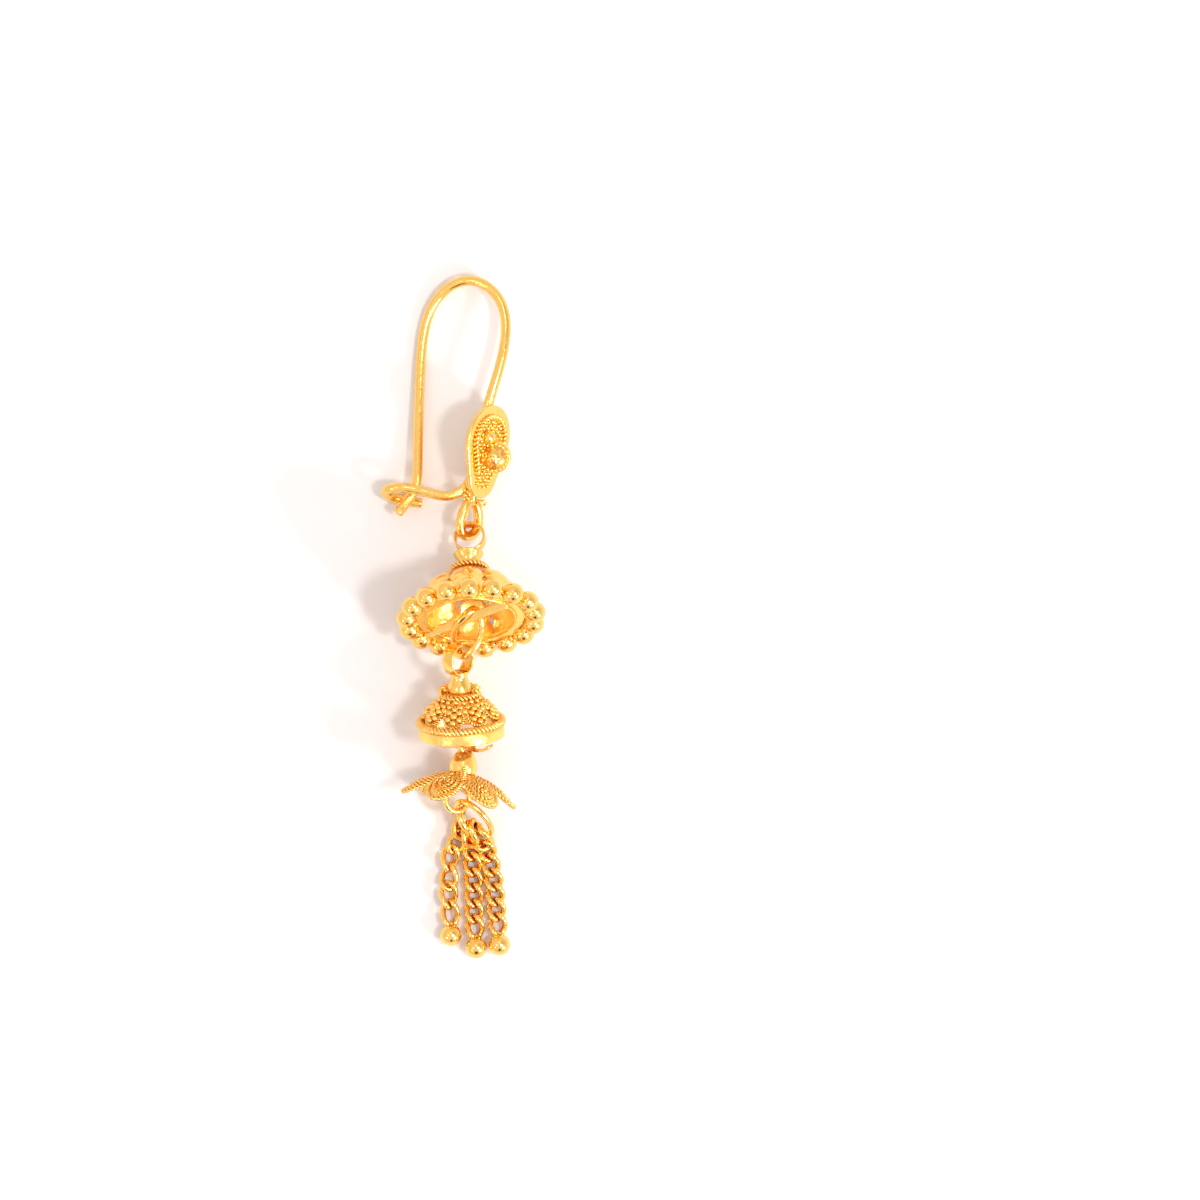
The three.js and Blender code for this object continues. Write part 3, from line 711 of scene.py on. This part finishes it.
def makeCap():
    c, seat = cap, hanging(cap)
    rim = Piece()
    # the rim band is satin, painted paler and with a painted glow
    rim.band(*c["rim"], seat, 120, -0.6)
    # the mouth's own rim, a thin wire
    reach, height, radius = c["lip"]
    lip = place(ringPath(reach, reach, 120, height), seat)
    rim.wire(lip, radius, lip - place(np.array([0, 0, height]), seat), 10, closed=True)
    rim.finish("cap_rim", "beaded_cap", sheetGold)

    beads = Piece()
    at = circle(c["beads"], np.pi / 2) * c["beadCircle"]
    beads.balls(place(level(at, c["beadDepth"]), seat), c["bead"], 21, 36)
    beads.finish("cap_beads", "beaded_cap", beadGold)

    grains = Piece()
    reach, height, radius = c["grains"]
    between = circle(c["beads"], np.pi / 2 + np.pi / c["beads"]) * reach
    grains.balls(place(level(between, height), seat), radius, 8, 12, 0.05)
    grains.ropeRing(*c["crown"], seat, 160)
    # the plate under the crown, seen between the lobes' round tops: painted shade outside, satin with a
    # painted paler tone and glow inside
    plate = spline(drawnDown(c["plate"]), 14)
    walls = np.vstack([plate, plate[::-1] * [0.97, 1] + [-0.05, 0.2]])
    grains.add(place(revolved(walls, 64), seat), depth=np.repeat([0.9, -0.6], len(plate)))
    grains.finish("cap_crown", "beaded_cap", grainGold)

    top = Piece()
    top.lathe(spline(drawnDown(c["neck"]), 30), 40, seat)
    top.addBail(c["bail"], seat)
    top.finish("cap_neck", "beaded_cap", wireGold)

    # the bar stands on its edge across the mouth, its flat side upwards, and ends in a point on the rim
    b, bar = c["bar"], Piece()
    x = np.linspace(*b["ends"], 40)
    path = np.stack([x, 0 * x + b["offset"], 0 * x + b["out"]], -1)
    side = np.array([0, np.cos(np.radians(b["roll"])), np.sin(np.radians(b["roll"]))])
    taper = np.clip((x - x[0]) / b["taper"][0] + b["taper"][1], 0, 1)[:, None, None]
    section = roundedBox(b["width"], b["depth"], 0.07) * np.concatenate([taper, np.ones_like(taper)], -1)
    bar.addBar(path, section, side, b["turn"], seat)
    bar.finish("cap_bar", "beaded_cap", sheetGold)


makeCapLobes()
makeCap()
print("cap done")


capLink = {
    "top": (1.12, 0.6, 6.32),
    "bottom": (-0.14, -3.44, 5.06),
    "halfWidth": 1.16,
    "slopes": (-54, 46.5),  # of its cross direction at the top and at the bottom
    "strip": (0.54, 0.72, 0.16),  # thickness, width and corners
}


def makeCapLink():
    # A thick strip along an oval whose cross direction turns from one slope at its top to another at its
    # bottom: point = middle + half * cos a + halfWidth * sin a * cross direction.
    k = capLink
    top, bottom = np.array(k["top"]), np.array(k["bottom"])
    half = (bottom - top) / 2
    across = unit(np.cross([0, 0, 1.0], half))
    upward = np.cross(unit(half), across)
    c, s = circle(96)[:, :1], circle(96)[:, 1:]
    slope = np.radians(k["slopes"][0] + (k["slopes"][1] - k["slopes"][0]) * (1 + c) / 2)
    loop = half * c + k["halfWidth"] * s * (across * np.cos(slope) + upward * np.sin(slope))
    piece = Piece()
    piece.add(sweep(loop + (top + bottom) / 2, roundedBox(*k["strip"]), loop, True))
    piece.finish("cap_link_strip", "cap_link", wireGold)


makeCapLink()


bell = {
    "centre": (-0.04, -10.51, 3.68),
    "heading": -87.7,
    "rise": -15,
    "band": (3.47, 3.75, 0.12, 1.08, 0.09),  # radii and heights of its edges, and corners
    "ledge": (3.2, 3.7, 1.01, 1.15, 0.06),
    "profile": [(3.42, 1.15), (3.18, 1.75), (2.64, 2.42), (2.06, 2.95), (1.68, 3.4), (1.45, 3.8),
                (1.35, 4.1)],
    "wall": 0.22,
    "windows": (11.5, 1.1, 0.2),  # half their width in degrees, their height, and the sill's
    "rope": (3.56, 1.42, 0.36, 0.74),  # circle, height, radius and pitch
    "topRope": (1.6, 3.92, 0.27, 0.7),
    "clusters": 8,
    "clusterHeight": 2.45,
    "clusterRadius": 2.62,  # of the bell at that height
    "clusterRope": (0.84, 0.74, 0.16, 0.5),  # half its width and height, radius and pitch
    "clusterGrains": (0.5, 0.46, 0.27, 0.32),  # half their ring's size, and radii on it and inside
    "turn": 102,  # of the first cluster
    "bunch": [  # turn from a window's middle, height and radius of each grain
        (0, 2.8, 0.26), (-0.14, 3.1, 0.24), (0.15, 3.1, 0.24), (0, 3.45, 0.22), (0.38, 3.5, 0.22),
        (-0.38, 3.5, 0.2),
    ],
    "spring": {"circle": 1.5, "height": 4.22, "ends": (146, 394), "radius": 0.26, "wire": 0.12,
               "turns": 12},
    "collar": [(0.7, 3.9), (0.98, 3.96), (1.07, 4.2), (1.02, 4.6), (0.86, 5.05), (0.73, 5.45), (0.78, 5.9)],
    "bail": {"radius": 1.45, "ribbon": 0.2, "width": 1.2, "corner": 0.07, "height": 7.0, "turn": -48,
             "aside": 0, "inside": 0.5},
    "bar": {"turn": 48, "section": (0.6, 0.24, 0.08), "start": 0.14, "bow": 0.76},
}


def bellPoint(angle, height, lift=0.0):
    # a point of the bell's outside, whose radius comes from the profile, raised along the wall's normal
    r, h = np.array(bell["profile"]).T
    radius = np.interp(height, h, r)
    slope = (np.interp(height + 0.1, h, r) - np.interp(height - 0.1, h, r)) / 0.2
    steep = np.sqrt(1 + slope**2)
    return polar(angle, radius + lift / steep, height - lift * slope / steep)


def makeBell():
    b, seat = bell, hanging(bell)
    count = b["clusters"]
    middles = np.radians(b["turn"]) + tau * np.arange(count) / count
    windows = middles + np.pi / count

    # the wall's foot is raised over each window by an arch, height * sqrt(1 - (turn / half width)^2)
    shell, rows = Piece(), 22
    angle = tau * np.arange(160)[:, None] / 160
    gap = np.abs((angle - windows + np.pi) % tau - np.pi).min(1, keepdims=True)
    halfWidth, arch, sill = b["windows"]
    start, end = b["profile"][0][1], b["profile"][-1][1]
    foot = start + sill + arch * np.sqrt(np.clip(1 - (gap / np.radians(halfWidth)) ** 2, 0, 1))
    height = foot + (end - foot) * np.linspace(0, 1, rows)
    grid = np.concatenate([bellPoint(angle, height), bellPoint(angle, height, -b["wall"])[:, ::-1]], 1)
    # painted shade on the wall, which shows between the ropes and grains, deeper inside
    shell.add(place(grid, seat), depth=np.repeat([0.6, 0.9], rows))
    # the band is satin, painted paler and with a painted glow
    shell.band(*b["band"], seat, 140, -0.35)
    # ledge that carries the rope on the band, painted with shade under the rope
    shell.band(*b["ledge"], seat, 140, 0.8)
    shell.finish("bell_shell", "filigree_bell", sheetGold)

    work = Piece()
    work.ropeRing(*b["rope"], seat, 240)
    work.ropeRing(*b["topRope"], seat, 160)
    # a rope loop round each cluster: an oval laid on the bell
    halfWide, halfHigh, wire, pitch = b["clusterRope"]
    around, up = circle(48).T
    middle = b["clusterHeight"]
    for a in middles:
        loop = bellPoint(a + halfWide * around / b["clusterRadius"], middle + halfHigh * up, 0.08)
        loop, centre = place(loop, seat), place(bellPoint(a, middle, 0.08), seat)
        work.rope(loop, wire, loop - centre, pitch, closed=True)
    work.finish("bell_ropes", "filigree_bell", grainGold)

    grains = Piece()
    halfWide, halfHigh, grain, middleGrain = b["clusterGrains"]
    around, up = np.vstack([[0, 0], circle(6, np.pi / 6)]).T
    for a in middles:
        spots = bellPoint(a + halfWide * around / b["clusterRadius"], middle + halfHigh * up, 0.2)
        grains.balls(place(spots, seat), np.array([middleGrain] + 6 * [grain]), 9, 14, 0.05)
    # bunches between the clusters, above the windows and under the top rope
    around, up, size = np.array(b["bunch"]).T
    for a in windows:
        grains.balls(place(bellPoint(a + around, up, 0.15), seat), size, 7, 12, 0.05)
    grains.finish("bell_grains", "filigree_bell", grainGold)

    # a fine spring laid round the back and the sides of the collar's foot
    s, spring = b["spring"], Piece()
    ring = s["circle"] * arc(np.radians(np.linspace(*s["ends"], 120)))
    ring = place(level(ring, -s["height"]), seat)
    spring.coil(ring, s["radius"], s["wire"], ring - seat[0], s["turns"])
    spring.finish("bell_spring", "filigree_bell", grainGold)

    neck = Piece()
    neck.lathe(spline(drawnDown(b["collar"]), 26), 36, seat)
    neck.addBail(b["bail"], seat)
    neck.finish("bell_neck", "filigree_bell", wireGold)

    # the bar across the mouth bows out of it by 1 - x^4
    k, bar = b["bar"], Piece()
    reach = b["band"][1] - 0.05
    x = np.linspace(-reach, reach, 44)
    path = np.stack([x, 0 * x, k["start"] + k["bow"] * (1 - (x / reach) ** 4)], -1)
    bar.addBar(path, roundedBox(*k["section"]), [0, 1, 0], k["turn"], seat)
    bar.finish("bell_bar", "filigree_bell", sheetGold)


makeBell()
print("bell done")


flower = {
    "centre": (0.0, -13.78, 4.45),
    "heading": -98.5,
    "rise": -1.5,
    "petals": 6,
    "turn": -6,
    "root": 0.6,
    "reach": 4.95,
    "drop": 2.25,
    "arch": 0.45,
    "width": 2.75,
    "widest": 0.6,  # share of the length
    "thickness": 0.2,
    "hollow": 0.2,
    "least": 0.14,  # height above the table that the sheets keep
    "ropes": [  # share of the outline, radius, pitch and height; the first is the edge
        (0.96, 0.22, 0.72, 0.08), (0.67, 0.2, 0.7, 0.14), (0.38, 0.2, 0.7, 0.14), (0.11, 0.18, 0.7, 0.14),
    ],
    "grooveShade": 0.5,
    "boss": [(0.4, 2.12), (0.74, 1.95), (1.06, 1.4), (1.22, 0.85), (1.2, 0.35), (1.02, -0.05), (0.5, -0.3)],
    "bail": {"radius": 0.9, "ribbon": 0.18, "width": 0.6, "corner": 0.07, "height": 2.72, "turn": -42,
             "aside": 0, "inside": 0.5},
    "eye": {"centre": (-0.42, -15.8, 3.95), "normal": (0.5, -0.15, 0.85), "half": (1.15, 1.15),
            "wire": 0.26},
    "stem": (-0.33, -14.7, 4.1),
    "spring": {"turn": 84, "from": (1.05, 0, -0.5), "to": (2.5, 0, 0.55), "radius": 0.24, "wire": 0.11,
               "turns": 6},
}


def petalWidth(t):
    # half the width: it swells like a sine to the widest place and closes like an ellipse at the tip
    f = flower
    swell = 0.32 + 0.68 * np.sin(np.pi * np.clip(t / f["widest"], 0, 1) / 2)
    end = np.clip((t - f["widest"]) / (1 - f["widest"]), 0, 1)
    return f["width"] / 2 * np.where(t < f["widest"], swell, np.sqrt(1 - end**2))


def petalPoint(t, y, lift=0.0):
    # t runs from root to tip: out by the reach, down by drop * t, bulging by a sine, its edges curled down
    f = flower
    across = y / (f["width"] / 2)
    x = f["root"] + (f["reach"] - f["root"]) * t - 0.12 * across**2
    z = f["drop"] * t - f["arch"] * np.sin(np.pi * t) + f["hollow"] * across**2 - lift
    return np.stack([x, y, z], -1)


def petalLine(share, count, middle=0.5):
    # the petal's outline, drawn in towards its middle by the share
    f = flower
    side = np.linspace(0.02, f["widest"], 30)
    bow = np.radians(np.linspace(90, -90, 50)[1:-1])
    t = np.concatenate([side, f["widest"] + (1 - f["widest"]) * np.cos(bow), side[::-1]])
    y = np.concatenate([petalWidth(side), f["width"] / 2 * np.sin(bow), -petalWidth(side[::-1])])
    line = np.stack([middle + (t - middle) * share, y * share], -1)
    return (even(line * [f["reach"], 1], count) / [f["reach"], 1]).T


def makeFlower():
    f, seat = flower, hanging(flower)
    turns = f["turn"] + 360 * np.arange(f["petals"]) / f["petals"]
    sheets, rows, across = Piece(), 36, 13
    t = 1 - np.linspace(1, 0, rows + 1)[:-1, None] ** 2
    y = petalWidth(t) * np.linspace(-1, 1, across)
    upper, under = petalPoint(t, y, f["thickness"] / 2), petalPoint(t, y, -f["thickness"] / 2)
    grid = np.concatenate([upper, under[:, ::-1]], 1)
    tips = petalPoint(np.array([-0.02, 1.0]), np.zeros(2))
    grid, tips = (pressed(place(repeated(part, turns), seat), f["least"]) for part in (grid, tips))
    # a little painted shade on the sheets, which show between the ropes
    sheets.add(grid, tips, np.repeat([0.15, 0.1], across))
    sheets.finish("petal_sheets", "flower_cap", sheetGold)

    edges, fill = Piece(), Piece()
    for a in turns:
        for share, radius, pitch, lift in f["ropes"]:
            path = place(turned(petalPoint(*petalLine(share, 90), lift), a), seat)
            target = edges if share == f["ropes"][0][0] else fill
            target.rope(pressed(path, radius + 0.02), radius, -seat[1][2], pitch, grooveShade=f["grooveShade"])
    k = f["spring"]
    line = turned(np.linspace(k["from"], k["to"], 30), k["turn"])
    fill.coil(place(line, seat), k["radius"], k["wire"], seat[1][0], k["turns"])
    edges.finish("petal_edges", "flower_cap", grainGold)
    fill.finish("petal_ropes", "flower_cap", grainGold)

    body = Piece()
    # the boss is satin, painted paler and with a painted glow
    body.lathe(spline(drawnDown(f["boss"]), 30), 36, seat, -0.3)
    body.addBail(f["bail"], seat, 40)
    body.hoop(f["eye"], 72, 16)
    body.wire(np.linspace(f["centre"], f["stem"], 10), 0.3, [1, 0, 0], 14, blunt=0.8)
    body.finish("flower_boss", "flower_cap", wireGold)


makeFlower()
print("flower done")


ovalRing = {
    "centre": (1.04, -17.54, 2.71),
    "normal": (-0.46, -0.77, 0.57),
    "along": (0.6, -0.49, -0.56),
    "half": (2.1, 1.3),
    "wire": 0.26,
}


link = {
    "lap": 1.36,  # a link's length over its share of the chain
    "halfWide": 0.63,
    "wire": 0.25,
    "twist": -52,
    "first": 1.25,  # size of the link that hangs on the ring
}
endBall = {"radius": 0.945, "solder": 0.3, "solderAt": 0.93}
chains = {
    "left": {
        "route": [[-0.12, -17.4, 1.95], [-0.14, -18.5, 1.35], [-0.45, -19.6, 0.95], [-1.0, -20.7, 0.8],
                  [-1.12, -22.2, 0.8], [-1.22, -23.6, 0.88], [-1.12, -25.2, 0.8], [-1.01, -26.65, 0.74]],
        "links": 6,
        "ball": leftBall,
        # share of the way along the chain, and how a link there is turned
        "turns": [(0, 70), (0.1, 60), (0.25, 15), (0.42, -15), (0.58, 20), (0.75, 165), (0.9, 180),
                  (1, 180)],
    },
    "middle": {
        "route": [[0.85, -18.3, 1.5], [0.72, -19.1, 1.15], [0.8, -20.4, 0.78], [0.9, -22.2, 0.64],
                  [1.0, -24.2, 0.6], [1.02, -26.0, 0.6], [1.14, -27.7, 0.66]],
        "links": 7,
        "ball": (1.19, -28.8, 0.96),
        "turns": [(0, 65), (0.07, 60), (0.2, 10), (0.35, 0), (1, 0)],
    },
    "right": {
        "route": [[1.6, -18.65, 1.45], [1.72, -19.4, 1.15], [2.1, -20.3, 0.8], [2.5, -21.8, 0.64],
                  [2.78, -23.5, 0.6], [2.93, -25.3, 0.6], [3.12, -27.45, 0.66]],
        "links": 7,
        "ball": (3.21, -28.55, 0.96),
        "turns": [(0, 40), (0.07, 35), (0.2, 5), (0.35, 0), (1, 0)],
    },
}


def makeChain(name):
    # Each curb link is an oval whose ends are twisted opposite ways: the cross direction turns by
    # twist * cos(angle), and the oval is a little squarer than an ellipse.
    c = chains[name]
    count = c["links"]
    route = spline(c["route"], 200)
    angle = tau * np.arange(40) / 40
    long = link["lap"] / 2 * np.linalg.norm(np.diff(route, axis=0), axis=1).sum() / count
    twist = np.radians(link["twist"]) * np.cos(angle)
    reach = link["halfWide"] * np.sign(np.sin(angle)) * np.abs(np.sin(angle)) ** 0.75
    loop = np.stack([long * np.cos(angle), reach * np.cos(twist), reach * np.sin(twist)], -1)
    local = sweep(loop, link["wire"] * circle(12), loop, True)
    # painted shade on the wire's inner side, and where the next link crosses
    deep = 0.8 * ((1 - circle(12)[:, 0]) / 2) ** 1.5 + 0.35 * np.abs(np.cos(angle[:, None])) ** 4
    share = (np.arange(count) + 0.5) / count

    def atLinks(rows):
        return np.stack([np.interp(share * (len(rows) - 1), np.arange(len(rows)), r) for r in rows.T], -1)

    way = unit(atLinks(tangents(route, False)))
    side = unit(np.cross([0, 0, 1.0], way))
    turn = np.radians(np.interp(share, *zip(*c["turns"])))[:, None]
    across = side * np.cos(turn) + np.cross(way, side) * np.sin(turn)
    axes = np.stack([way, across, np.cross(way, across)], 1)
    size = np.where(np.arange(count) == 0, link["first"], 1.0)
    batch = np.einsum("k,nmc,kcd->knmd", size, local, axes) + atLinks(route)[:, None, None]
    piece = Piece()
    piece.add(batch, depth=np.clip(deep, 0, 1))
    piece.finish(f"curb_links_{name}", f"chain_{name}", chainGold)

    ball, centre = Piece(), np.array(c["ball"])
    ball.balls(centre, endBall["radius"], 31, 56)
    # a drop of solder between the last link and the ball
    ball.balls(centre + unit(route[-1] - centre) * endBall["solderAt"], endBall["solder"], 9, 16)
    ball.finish(f"ball_{name}", f"end_ball_{name}", beadGold)


oval = Piece()
oval.hoop(ovalRing, 96, 18)
oval.finish("oval_ring", "chain_ring", wireGold)
for side in chains:
    makeChain(side)
print("chains done")


stage = {
    "floor": (0.925, 0.91, 0.905, 1),
    "size": 3.0,  # half its width, in metres
    "seen": (0.96, 0.93, 0.91, 1),  # the sky where the camera sees it
    "sky": ((0.88, 0.815, 0.805, 1), (0.97, 0.9, 0.89, 1)),  # low down and overhead
    "patches": [  # direction, inner and outer angle, and colour
        ((0.6, 0.3, 0.74), 10, 30, (0.72, 0.66, 0.62, 1)),
        ((0.05, -0.866, 0.5), 10, 17, (0.1, 0.09, 0.06, 1)),
    ],
    "panels": [  # direction and angle
        ((0.42, -0.1, 0.9), 12), ((0.7, -0.5, 0.5), 13), ((0.0, 0.41, 0.91), 5), ((-0.45, -0.06, 0.89), 5),
        ((-0.63, -0.48, 0.61), 6),
    ],
    "panel": (6.0, 5.9, 5.8, 1),
    "windows": {  # direction, size in metres and power
        "near window": ((0.42, -0.1, 0.9), 0.06, 0.6),
        "far window": ((0.7, -0.5, 0.5), 0.07, 0.85),
    },
    "windowDistance": 0.45,
}


def makeFloor():
    s = stage["size"]
    mesh = bpy.data.meshes.new("table")
    mesh.from_pydata([(-s, -s, 0), (s, -s, 0), (s, s, 0), (-s, s, 0)], [], [(0, 1, 2, 3)])
    material = bpy.data.materials.new("pale table")
    material.use_nodes = True
    shader = material.node_tree.nodes["Principled BSDF"]
    shader.inputs["Base Color"].default_value = stage["floor"]
    shader.inputs["Roughness"].default_value = 0.9
    shader.inputs["Specular IOR Level"].default_value = 0.1
    mesh.materials.append(material)
    linked("table", mesh)


def makeLight():
    world = bpy.data.worlds.new("studio")
    bpy.context.scene.world = world
    world.use_nodes = True
    nodes = Nodes(world.node_tree)
    direction = nodes.make("ShaderNodeTexCoord", {}, output=0)

    def patch(towards, inner, outer):
        # 1 within the inner angle of a direction, fading to 0 at the outer one
        axis = tuple(unit(np.array(towards, float)))
        near = nodes.make("ShaderNodeVectorMath", {"operation": "DOT_PRODUCT"}, direction, axis, output=1)
        edges = np.cos(np.radians([outer, inner])).tolist()
        return nodes.make("ShaderNodeMapRange", {"interpolation_type": "SMOOTHSTEP"}, near, *edges)

    sky = nodes.blend(patch((0, 0, 1), 15, 95), *stage["sky"])
    for towards, inner, outer, colour in stage["patches"]:
        sky = nodes.blend(patch(towards, inner, outer), sky, colour)
    # bright panels that only the gloss sees
    gloss = sky
    for towards, size in stage["panels"]:
        gloss = nodes.blend(patch(towards, size - 2, size + 1), gloss, stage["panel"])
    camera = nodes.make("ShaderNodeLightPath", {})
    glossy = Value(nodes, camera.socket.node.outputs["Is Glossy Ray"])
    sky = nodes.blend(camera, nodes.blend(glossy, sky, gloss), stage["seen"])
    nodes.put(world.node_tree.nodes["Background"].inputs["Color"], sky)
    # square area lights that shine at the earring
    for name, (towards, size, power) in stage["windows"].items():
        towards = unit(np.array(towards))
        light = bpy.data.lights.new(name, "AREA")
        light.size, light.energy = size, power
        lamp = linked(name, light)
        lamp.location = towards * stage["windowDistance"]
        lamp.rotation_mode = "QUATERNION"
        lamp.rotation_quaternion = Vector(-towards).to_track_quat("-Z", "Y")


def makeCamera():
    view = {"over": (11.957, 1.391), "height": 1200, "field": 104.35}
    camera = bpy.data.cameras.new("camera")
    camera.sensor_width = 36
    camera.lens = 36 * view["height"] / view["field"]
    camera.clip_start, camera.clip_end = 0.01, 10
    eye = linked("camera", camera)
    eye.location = (np.array([*view["over"], view["height"]]) + shift * [1, 1, 0]) * mm
    bpy.context.scene.camera = eye


makeFloor()
makeLight()
makeCamera()
bpy.context.scene.view_settings.view_transform = "Standard"
print("stage done")
